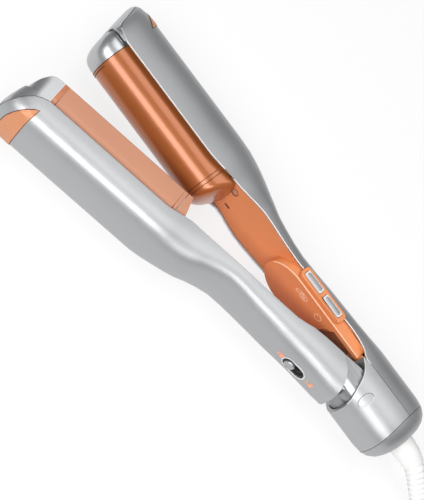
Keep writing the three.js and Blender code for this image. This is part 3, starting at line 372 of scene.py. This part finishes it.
refinedPieces = {
    "baseShell": {"node": "base_shell", "ease": 0.006},
    "clampShell": {"node": "clamp_shell", "ease": 0.006},
    "headHousing": {"node": "head_housing", "ease": 0.006},
    "rearCap": {"node": "rear_cap", "ease": 0.005},
    "baseNose": {"node": "base_nose", "sharp": 48, "ease": 0.004},
    "clampNose": {"node": "clamp_nose", "sharp": 48, "ease": 0.004},
    "barrelPlate": {"node": "barrel"},
    "barrelEnd": {"node": "barrel_end_cap", "look": "copperCoat"},
    "troughPlate": {"node": "trough", "look": "paleCopper"},
    "troughEnd": {"node": "trough_end_block", "look": "paleCopper"},
    "innerPanel": {"node": "inner_panel"},
    "clampCover": {"node": "clamp_cover"},
    "baseTipPad": {"node": "base_tip_pad", "bevel": 0.0004, "look": "leafCopper"},
    "clampTipPad": {"node": "clamp_tip_pad", "bevel": 0.0004, "look": "leafCopper"},
    "buttonBezel": {"node": "button_bezel", "bevel": 0.0003},
    # painted highlight: both buttons take the pale silver, which shows as a bright rim round each pad
    "modeButton": {"node": "button_mode", "look": "silverEdgeHighlight"},
    "powerButton": {"node": "button_power", "look": "silverEdgeHighlight"},
    # painted shade: the neck takes a darker silver for the shade between the ears
    "clampNeck": {"node": "clamp_neck", "look": "shadedNeckSilver"},
    "lockGuide": {"node": "lock_guide"},
    "lockKnob": {"node": "lock_slider", "bevel": 0.0002},
    "pivotCoverUpper": {"node": "pivot_cap_upper", "ease": 0.006},
    "pivotCoverLower": {"node": "pivot_cap_lower"},
    "cordBoot": {"node": "strain_relief", "sharp": 60},
    "cordTie": {"node": "cord_tie"},
    "plugBody": {"node": "plug_body"},
    "panelScrew": {"node": "panel_screw", "look": "paleCopper"},
}
pieces = {name: refined(name, **settings) for name, settings in refinedPieces.items()}
print("shells refined")

opening = Matrix.Rotation(math.radians(-hinge["range_deg"][0]), 3, "Z")
armFrame = {"root": Matrix.Identity(3), "clamp_arm": opening}  # each arm's own axes, as it lies at rest
meeting = 1e-6  # ends this near each other close a line
seamSides = 6


def onArm(body, x, y, z):
    # a point given in millimetres from the hinge, along, across and up from a closed arm
    return pivot + armFrame[body] @ (Vector((x, y, z)) / 1000)


def fromHinge(point):
    # a point of the base arm in those millimetres
    return (Vector(point) - pivot) * 1000


def joined(name, body, look, shells):
    # one piece from closed shells, each a list of points and a list of faces
    points, faces = [], []
    for spots, loops in shells:
        faces += [tuple(len(points) + i for i in loop) for loop in loops]
        points += spots
    mesh = bpy.data.meshes.new(name)
    mesh.from_pydata(points, [], faces)
    work = bmesh.new()
    work.from_mesh(mesh)
    bmesh.ops.recalc_face_normals(work, faces=work.faces)
    work.to_mesh(mesh)
    work.free()
    mesh.polygons.foreach_set("use_smooth", [True] * len(mesh.polygons))
    mesh.set_sharp_from_angle(angle=smoothCorner)
    mesh.materials.append(finish[look])
    piece = fresh(name, mesh)
    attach(piece, body)
    return piece


def openedLoop(line):
    # the line without its last point if that closes it, and whether it does
    closed = (line[0] - line[-1]).length < meeting
    return (line[:-1] if closed else line), closed


def neighbours(line, i, closed):
    before = line[i - 1] if closed or i else line[i]
    after = line[(i + 1) % len(line)] if closed or i < len(line) - 1 else line[i]
    return before, after


def bead(line, radius, sides=8):
    # a thin round bead along a line, closed where the line ends on its start
    line, closed = openedLoop(line)
    count = len(line)
    points, faces = [], []
    side = None
    for i, p in enumerate(line):
        before, after = neighbours(line, i, closed)
        along = (after - before).normalized()
        if side is None:
            side = along.orthogonal()
        side = (side - along * side.dot(along)).normalized()
        over = along.cross(side)
        for k in range(sides):
            angle = 2 * math.pi * k / sides
            points.append(p + radius * (math.cos(angle) * side + math.sin(angle) * over))
    for i in range(count if closed else count - 1):
        a, b = i * sides, ((i + 1) % count) * sides
        shift = 0
        if closed and i == count - 1:  # the last ring meets the first where their corners lie nearest
            shift = min(range(sides), key=lambda s: (points[a] - points[b + s]).length)
        for k in range(sides):
            beside = (k + 1) % sides
            faces.append((a + k, a + beside, b + (beside + shift) % sides, b + (k + shift) % sides))
    if not closed:
        faces.append(tuple(range(sides)))
        faces.append(tuple(range(len(points) - sides, len(points))))
    return points, faces


def lofted(rings):
    # a closed shell through rings of equal count
    count = len(rings[0])
    faces = []
    for r in range(len(rings) - 1):
        a, b = r * count, (r + 1) * count
        faces += [(a + k, a + (k + 1) % count, b + (k + 1) % count, b + k) for k in range(count)]
    faces += [tuple(range(count)), tuple(range((len(rings) - 1) * count, len(rings) * count))]
    return [p for ring in rings for p in ring], faces


corners = {"bluntest": 0.8, "shortest": 0.004}  # the cosine between a corner's faces, and a run's length


def cornerLines(node, chosen):
    # the runs of corner edges of a node whose two faces' directions the test picks
    work = welded(nodes[node].data)
    links = {}
    for edge in work.edges:
        if len(edge.link_faces) != 2:
            continue
        a, b = (face.normal for face in edge.link_faces)
        if a.dot(b) < corners["bluntest"] and (chosen(a, b, edge) or chosen(b, a, edge)):
            u, v = edge.verts
            links.setdefault(u, []).append(v)
            links.setdefault(v, []).append(u)
    lines, used = [], set()
    for start in sorted(links, key=lambda v: (len(links[v]) != 1, v.index)):
        for following in links[start]:
            if frozenset((start, following)) in used:
                continue
            run = [start, following]
            used.add(frozenset(run))
            while True:
                onward = [v for v in links[run[-1]] if frozenset((run[-1], v)) not in used]
                if len(onward) != 1:
                    break
                used.add(frozenset((run[-1], onward[0])))
                run.append(onward[0])
            line = [v.co.copy() for v in run]
            if sum((q - p).length for p, q in zip(line, line[1:])) > corners["shortest"]:
                lines.append(line)
    work.free()
    return lines


def evened(line, step):
    # the line again with its points at least a step apart
    kept = [line[0]]
    for p in line[1:-1]:
        if (p - kept[-1]).length >= step:
            kept.append(p)
    return [*kept, line[-1]]


def drawnIn(line, step):
    # the line again, moved step metres towards the middle plane, so that a bead on it stays inside the skin
    return [Vector((p.x, p.y, p.z - math.copysign(step, p.z - pivot.z))) for p in line]


def leansOut(wall, edge, least):
    # whether a wall faces away from the middle plane
    height = edge.verts[0].co.z - pivot.z
    return wall.z * height > least * abs(height)


# rims round both shells, in front of the rear body: the base shell's rim takes a pale silver as a painted
# highlight, the clamp shell's rim the shell's own satin silver
rims = {
    "baseShellRim": {
        "node": "base_shell", "body": "root", "inward": 1, "look": "silverEdgeHighlight", "radius": 0.0004,
    },
    "clampShellRim": {
        "node": "clamp_shell", "body": "clamp_arm", "inward": -1, "look": "satinSilver", "radius": 0.00025,
    },
}
rimEdges = {"lip": 0.6, "wall": 0.55, "lean": 0.3, "fromX": 0.014, "step": 0.0015}
for name, rim in rims.items():
    inward = armFrame[rim["body"]] @ Vector((0, rim["inward"], 0))
    found = cornerLines(rim["node"], lambda lip, wall, edge: lip.dot(inward) > rimEdges["lip"]
                        and abs(wall.dot(inward)) < rimEdges["wall"]
                        and leansOut(wall, edge, rimEdges["lean"]))
    found = [[p for p in line if p.x > rimEdges["fromX"]] for line in found]
    joined(name, rim["body"], rim["look"],
           [bead(drawnIn(evened(line, rimEdges["step"]), rim["radius"]), rim["radius"])
            for line in found if len(line) > 2])

# painted highlight: pale silver rims along the ears over the hinge
ears = {"front": 0.3, "upright": 0.5, "lean": 0.4, "step": 0.0012, "radius": 0.0003}
found = cornerLines("head_housing", lambda front, wall, edge: front.x > ears["front"]
                    and abs(front.z) < ears["upright"] and leansOut(wall, edge, ears["lean"]))
joined("earRims", "root", "silverEdgeHighlight",
       [bead(drawnIn(evened(line, ears["step"]), ears["radius"]), ears["radius"]) for line in found])

# painted highlight: a pale orange bead along the top edge of the control block
blockEdgeHighlight = {"top": 0.6, "side": 0.5, "fromY": -0.0035, "step": 0.001, "sunk": 0.0003, "radius": 0.00042}
found = cornerLines("inner_panel", lambda top, side, edge: top.y > blockEdgeHighlight["top"]
                    and side.z > blockEdgeHighlight["side"] and edge.verts[0].co.y > blockEdgeHighlight["fromY"])
lowered = Vector((0, blockEdgeHighlight["sunk"], 0))
joined("blockEdgeHighlight", "root", "edgeHighlightOrange",
       [bead([p - lowered for p in drawnIn(evened(line, blockEdgeHighlight["step"]), blockEdgeHighlight["sunk"])],
             blockEdgeHighlight["radius"]) for line in found])
print("rims laid")

# wound hinge spring with one leg in the rear body
spring = {"radius": 3.8, "wire": 0.00045, "pitch": 1.2, "turns": 4, "leg": 9.5, "steps": 32}
springLine = [onArm("root", -spring["leg"], -spring["radius"], -spring["pitch"] * spring["turns"] / 2)]
for i in range(spring["turns"] * spring["steps"] + 1):
    turned = 2 * math.pi * i / spring["steps"] - math.pi / 2
    springLine.append(onArm("root", spring["radius"] * math.cos(turned), spring["radius"] * math.sin(turned),
                            spring["pitch"] * (i / spring["steps"] - spring["turns"] / 2)))
woundSpring = joined("woundSpring", "root", "plainSteel",
                     [bead(springLine, spring["wire"])])
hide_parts("hinge_spring")
print("spring wound")


def arc(centre, radius, start, end, count):
    # points of a circle's arc, in degrees
    turns = [math.radians(start + (end - start) * i / count) for i in range(count + 1)]
    return [(centre[0] + radius * math.cos(a), centre[1] + radius * math.sin(a)) for a in turns]


# dark seams round both ends of the barrel, and the lip at its front, in degrees from its upper side
barrelSeams = {
    "axisY": -14.5, "radius": 16.05, "places": (246.45, 157.2, 154.85),
    "from": 2, "to": 178, "steps": 40, "thick": 0.0002,
}
barrelLip = {"x": 244.9, "from": 62, "to": 128, "steps": 20, "thick": 0.0003}


def roundBarrel(x, start, end, steps):
    half = arc((0, barrelSeams["axisY"]), barrelSeams["radius"], start, end, steps)
    return [onArm("root", x, y, z) for z, y in half]


seamLines = [roundBarrel(x, barrelSeams["from"], barrelSeams["to"], barrelSeams["steps"])
             for x in barrelSeams["places"]]
joined("barrelSeams", "root", "darkSeam",
       [bead(line, barrelSeams["thick"], seamSides) for line in seamLines])
lipLine = roundBarrel(barrelLip["x"], barrelLip["from"], barrelLip["to"], barrelLip["steps"])
joined("barrelLip", "root", "darkSeam", [bead(lipLine, barrelLip["thick"])])

# dark seams on the trough's two walls: along the edge and across at the ends, in millimetres
troughSeams = {
    "outer": 17.98, "thick": 0.00016,
    "edgeY": -24.35, "alongXs": (155, 200, 240),
    "acrossXs": (154.2, 156.6, 243.3), "acrossYs": (-24.45, -16, -8),
}
seamLines = []
for z in (-troughSeams["outer"], troughSeams["outer"]):
    seamLines.append([onArm("clamp_arm", x, troughSeams["edgeY"], z) for x in troughSeams["alongXs"]])
    for x in troughSeams["acrossXs"]:
        seamLines.append([onArm("clamp_arm", x, y, z) for y in troughSeams["acrossYs"]])
joined("troughSeams", "clamp_arm", "darkSeam",
       [bead(line, troughSeams["thick"], seamSides) for line in seamLines])

# dark seams round both tip pads
padEdges = {
    "clampTipPadEdge": {"node": "clamp_tip_pad", "body": "clamp_arm", "outward": 1},
    "baseTipPadEdge": {"node": "base_tip_pad", "body": "root", "outward": -1},
}
padSeam = {"skin": 0.25, "wall": 0.3, "step": 0.001, "thick": 0.0002}
for name, pad in padEdges.items():
    outward = armFrame[pad["body"]] @ Vector((0, pad["outward"], 0))
    found = cornerLines(pad["node"], lambda skin, wall, edge: skin.dot(outward) > padSeam["skin"]
                        and wall.dot(outward) < padSeam["wall"])
    found = [drawnIn(evened(line, padSeam["step"]), padSeam["thick"]) for line in found]
    joined(name, pad["body"], "darkSeam",
           [bead([p - outward * padSeam["thick"] for p in line], padSeam["thick"], seamSides)
            for line in found])
print("seams drawn")


def skinOf(piece):
    mesh = piece.data
    return BVHTree.FromPolygons([v.co for v in mesh.vertices], [tuple(f.vertices) for f in mesh.polygons])


skins = {name: skinOf(pieces[name]) for name in ("innerPanel", "clampShell", "troughPlate")}
rayStart = 0.03  # how far out of the skin the looking starts
strokeSunk = 0.0001


def ribbon(line, width, proud, skin, toward):
    # a flat raised stroke laid on a skin, found by looking along one direction
    line, closed = openedLoop(line)
    count = len(line)
    points, faces = [], []
    for i, p in enumerate(line):
        before, after = neighbours(line, i, closed)
        side = (after - before).cross(toward).normalized() * width / 2
        for edge in (-side, side):
            spot, normal = skin.ray_cast(p + edge - toward * rayStart, toward)[:2]
            spot, normal = (p + edge, -toward) if spot is None else (spot, normal)
            points += [spot + normal * proud, spot - normal * strokeSunk]
    for i in range(count if closed else count - 1):
        a, b = 4 * i, 4 * ((i + 1) % count)
        faces += [(a + j, a + k, b + k, b + j) for j, k in ((0, 2), (2, 3), (3, 1), (1, 0))]
    if not closed:
        last = 4 * (count - 1)
        faces += [(1, 3, 2, 0), (last, last + 2, last + 3, last + 1)]
    return points, faces


def strokes(body, lines, centre, width, proud, skin):
    # strokes laid on the +Y face of an arm, in millimetres round their centre
    x, y, z = centre
    toward = armFrame[body] @ Vector((0, -1, 0))
    return [ribbon([onArm(body, x + u, y, z + v) for u, v in line], width, proud, skin, toward)
            for line in lines]


def capsule(centre, length, width, tilt=0, steps=12):
    # a closed loop with round ends
    half = (length - width) / 2
    loop = arc((half, 0), width / 2, -90, 90, steps) + arc((-half, 0), width / 2, 90, 270, steps)
    c, s = math.cos(math.radians(tilt)), math.sin(math.radians(tilt))
    loop = [(centre[0] + u * c - v * s, centre[1] + u * s + v * c) for u, v in loop]
    return [*loop, loop[0]]


# signs: curl choice and power on the control block, shut and open locks beside the slide
lockBlock = [(-0.9, -2.0), (-0.9, 0), (-0.9, 2.0)]
signs = {
    "curlSign": {
        "body": "root", "on": "innerPanel", "look": "iconPale",
        "centre": (69.7, -14.5, 8.4), "stroke": 0.00052,
        "lines": [capsule((1.7, 0.3), 6.2, 2.1, -24), capsule((-2.0, -0.2), 5.8, 4.0, -14),
                  capsule((-2.3, -0.3), 2, 1.3, -14)],
    },
    "powerSign": {
        "body": "root", "on": "innerPanel", "look": "iconPale",
        "centre": (53.2, -14.5, 7.4), "stroke": 0.00055,
        "lines": [arc((0, 0), 2.5, 85, 385, 30), [(0.8, 0.9), (1.7, 2.5), (1.9, 2.9)]],
    },
    "shutLock": {
        "body": "clamp_arm", "on": "clampShell", "look": "iconOrange",
        "centre": (52.4, 12, 0.5), "stroke": 0.0007,
        "lines": [[(0.1, -1.3), *arc((0.9, 0), 1.3, -90, 90, 12), (0.1, 1.3)]],
        "block": lockBlock,
    },
    "openLock": {
        "body": "clamp_arm", "on": "clampShell", "look": "iconOrange",
        "centre": (28.4, 12, 0.8), "stroke": 0.0007,
        "lines": [[(0.1, -1.3), *arc((0.9, 0), 1.3, -90, 50, 10)]],
        "block": lockBlock,
    },
}
signRaise = {"proud": 0.00008, "blockWidth": 0.0021}
for name, sign in signs.items():
    skin = skins[sign["on"]]
    laid = strokes(sign["body"], sign["lines"], sign["centre"], sign["stroke"], signRaise["proud"], skin)
    if "block" in sign:
        laid += strokes(sign["body"], [sign["block"]], sign["centre"], signRaise["blockWidth"],
                        signRaise["proud"], skin)
    joined(name, sign["body"], sign["look"], laid)
print("signs laid")

# painted highlight: a pale silver collar round the lock's slot
collar = {"centre": (41.6, 12, 0), "length": 16.7, "width": 9.8, "stroke": 0.0006, "proud": 0.0003}
joined("lockCollar", "clamp_arm", "silverEdgeHighlight",
       strokes("clamp_arm", [capsule((0, 0), collar["length"], collar["width"])], collar["centre"],
               collar["stroke"], collar["proud"], skins["clampShell"]))

# pale pads on both push buttons: rings as [inset, height over the button's face]
buttonPads = {
    "nodes": {"modeButtonPad": "button_mode", "powerButtonPad": "button_power"},
    "length": 13, "width": 3.1,
    "rings": ((0, -0.1), (0, 0.06), (0.25, 0.12)),
}
for name, node in buttonPads["nodes"].items():
    low, high = (fromHinge(corner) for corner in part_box(node))
    middle = (low + high) / 2
    rings = []
    for inset, level in buttonPads["rings"]:
        length, width = buttonPads["length"] - 2 * inset, buttonPads["width"] - 2 * inset
        loop = capsule((middle.x, middle.y), length, width)
        rings.append([onArm("root", x, y, high.z + level) for x, y in loop[:-1]])
    joined(name, bodyOf[node], "satinSilver", [lofted(rings)])

# darker strips at the front of the trough's walls
strip = {"x": 245.0, "ys": (-24.2, -20, -15, -10), "width": 0.0026, "proud": 0.00012}
stripShells = []
for side in (-1, 1):
    line = [onArm("clamp_arm", strip["x"], y, side * troughSeams["outer"]) for y in strip["ys"]]
    toward = Vector((0, 0, -side))
    stripShells.append(ribbon(line, strip["width"], strip["proud"], skins["troughPlate"], toward))
joined("troughStrip", "clamp_arm", "copperCoat", stripShells)

# painted shade: a dark brown sheet laid in the scoop behind the control block's signs: stations as [x, half
# width]
scoop = {
    "stations": [(46.6, 1.2), (46, 4), (45, 6.5), (43.5, 8.8), (41, 10.9), (38, 11.7), (34.5, 12.3),
                 (31, 12.8), (28, 13.1), (25, 13.2)],
    "across": 16, "castFrom": 10, "proud": 0.00006, "sunk": 0.0002,
}


def scoopShell():
    rows, wide = len(scoop["stations"]), scoop["across"] + 1
    under = rows * wide  # from a point of the upper layer to the one below it
    points = []
    for depth in (scoop["proud"], -scoop["sunk"]):
        for x, half in scoop["stations"]:
            for k in range(wide):
                above = onArm("root", x, scoop["castFrom"], half * (2 * k / scoop["across"] - 1))
                spot, normal = skins["innerPanel"].ray_cast(above, Vector((0, -1, 0)))[:2]
                points.append(spot + normal * depth)
    faces = []
    for layer in (0, under):
        for r in range(rows - 1):
            for k in range(wide - 1):
                a, b = layer + r * wide + k, layer + (r + 1) * wide + k
                faces.append((a, a + 1, b + 1, b))
    border = (list(range(wide)) + [r * wide + wide - 1 for r in range(1, rows)]
              + [(rows - 1) * wide + k for k in range(wide - 2, -1, -1)]
              + [r * wide for r in range(rows - 2, 0, -1)])
    faces += [(a, b, b + under, a + under) for a, b in zip(border, border[1:] + border[:1])]
    return points, faces


joined("blockScoopShade", "root", "scoopPaintedShade", [scoopShell()])

# plate that closes the gap between the inner panel and the rear body: stations as [x, half width, top]
tail = {
    "stations": [(14.5, 16.2, -16.4), (17, 16.8, -16.1), (19.5, 17, -15.9), (20.8, 17, -15.8)],
    "thick": 0.9, "crown": 0.3, "across": 12,
}
shares = [2 * k / tail["across"] - 1 for k in range(tail["across"] + 1)]  # across the plate, from -1 to 1
tailRings = []
for x, half, top in tail["stations"]:
    upper = [onArm("root", x, top - tail["crown"] * s * s, half * s) for s in shares]
    lower = [p - Vector((0, tail["thick"] / 1000, 0)) for p in reversed(upper)]
    tailRings.append(upper + lower)
joined("panelTail", "root", "matteOrange", [lofted(tailRings)])

# dark ring round the screw and a slit beside it
screw = {"x": 141, "y": -20.35, "z": 8, "radius": 2.65, "thick": 0.00022, "steps": 32}
slit = {"xs": (135.6, 137.5, 139.4), "y": -20.3, "z": -6.6, "thick": 0.0006}
ringLine = [onArm("root", x, screw["y"], z)
            for x, z in arc((screw["x"], screw["z"]), screw["radius"], 0, 360, screw["steps"])]
ringLine[-1] = ringLine[0].copy()
slitLine = [onArm("root", x, slit["y"], slit["z"]) for x in slit["xs"]]
joined("screwRing", "root", "darkSeam",
       [bead(ringLine, screw["thick"], seamSides), bead(slitLine, slit["thick"])])
print("small trim laid")

# pale floor that shows white to the camera and in reflections, and keeps the object's shadow
floorSet = {"reach": 3, "colour": 0.9, "rough": 0.9, "whiteShare": 0.8}
reach = floorSet["reach"]
floorMesh = bpy.data.meshes.new("floor")
floorMesh.from_pydata([(-reach, -reach, 0), (reach, -reach, 0), (reach, reach, 0), (-reach, reach, 0)], [],
                      [(0, 1, 2, 3)])
floor = fresh("floor", floorMesh)
paleFloor = bpy.data.materials.new("paleFloor")
paleFloor.use_nodes = True
tree = paleFloor.node_tree
paint = tree.nodes["Principled BSDF"]
paint.inputs["Base Color"].default_value = (*[floorSet["colour"]] * 3, 1)
paint.inputs["Roughness"].default_value = floorSet["rough"]
glow = tree.nodes.new("ShaderNodeEmission")
path = tree.nodes.new("ShaderNodeLightPath")
mix = tree.nodes.new("ShaderNodeMixShader")
seen = path.outputs["Is Camera Ray"]
for ray in ("Is Glossy Ray", "Is Transmission Ray"):
    either = tree.nodes.new("ShaderNodeMath")
    either.operation = "MAXIMUM"
    tree.links.new(seen, either.inputs[0])
    tree.links.new(path.outputs[ray], either.inputs[1])
    seen = either.outputs[0]
share = tree.nodes.new("ShaderNodeMath")
share.operation = "MULTIPLY"
share.inputs[1].default_value = floorSet["whiteShare"]
tree.links.new(seen, share.inputs[0])
tree.links.new(share.outputs[0], mix.inputs["Fac"])
tree.links.new(paint.outputs["BSDF"], mix.inputs[1])
tree.links.new(glow.outputs["Emission"], mix.inputs[2])
tree.links.new(mix.outputs["Shader"], tree.nodes["Material Output"].inputs["Surface"])
floor.data.materials.append(paleFloor)

# studio light: a white world, a long lamp near the camera's side and a soft one over the flat tops
studio = {
    "world": 0.25,
    "aim": (0.12, 0.03, 0.02),
    "key": {"place": (0.12, 0.72, 0.72), "size": (1.3, 0.42), "power": 9.6},
    "softTop": {"place": (0.1, -0.16, 0.9), "size": (1.1, 0.6), "power": 4.4},
}
world = bpy.data.worlds.new("studio")
scene.world = world
world.use_nodes = True
sky = world.node_tree.nodes["Background"]
sky.inputs["Color"].default_value = (1, 1, 1, 1)
sky.inputs["Strength"].default_value = studio["world"]


def lamp(name, place, size, power):
    data = bpy.data.lights.new(name, "AREA")
    data.shape = "RECTANGLE"
    data.size, data.size_y = size
    data.energy = power
    made = bpy.data.objects.new(name, data)
    scene.collection.objects.link(made)
    turned = (Vector(studio["aim"]) - Vector(place)).to_track_quat("-Z", "Y").to_matrix().to_4x4()
    made.matrix_world = Matrix.Translation(place) @ turned


lamp("key", **studio["key"])
lamp("softTop", **studio["softTop"])
print("stage lit")
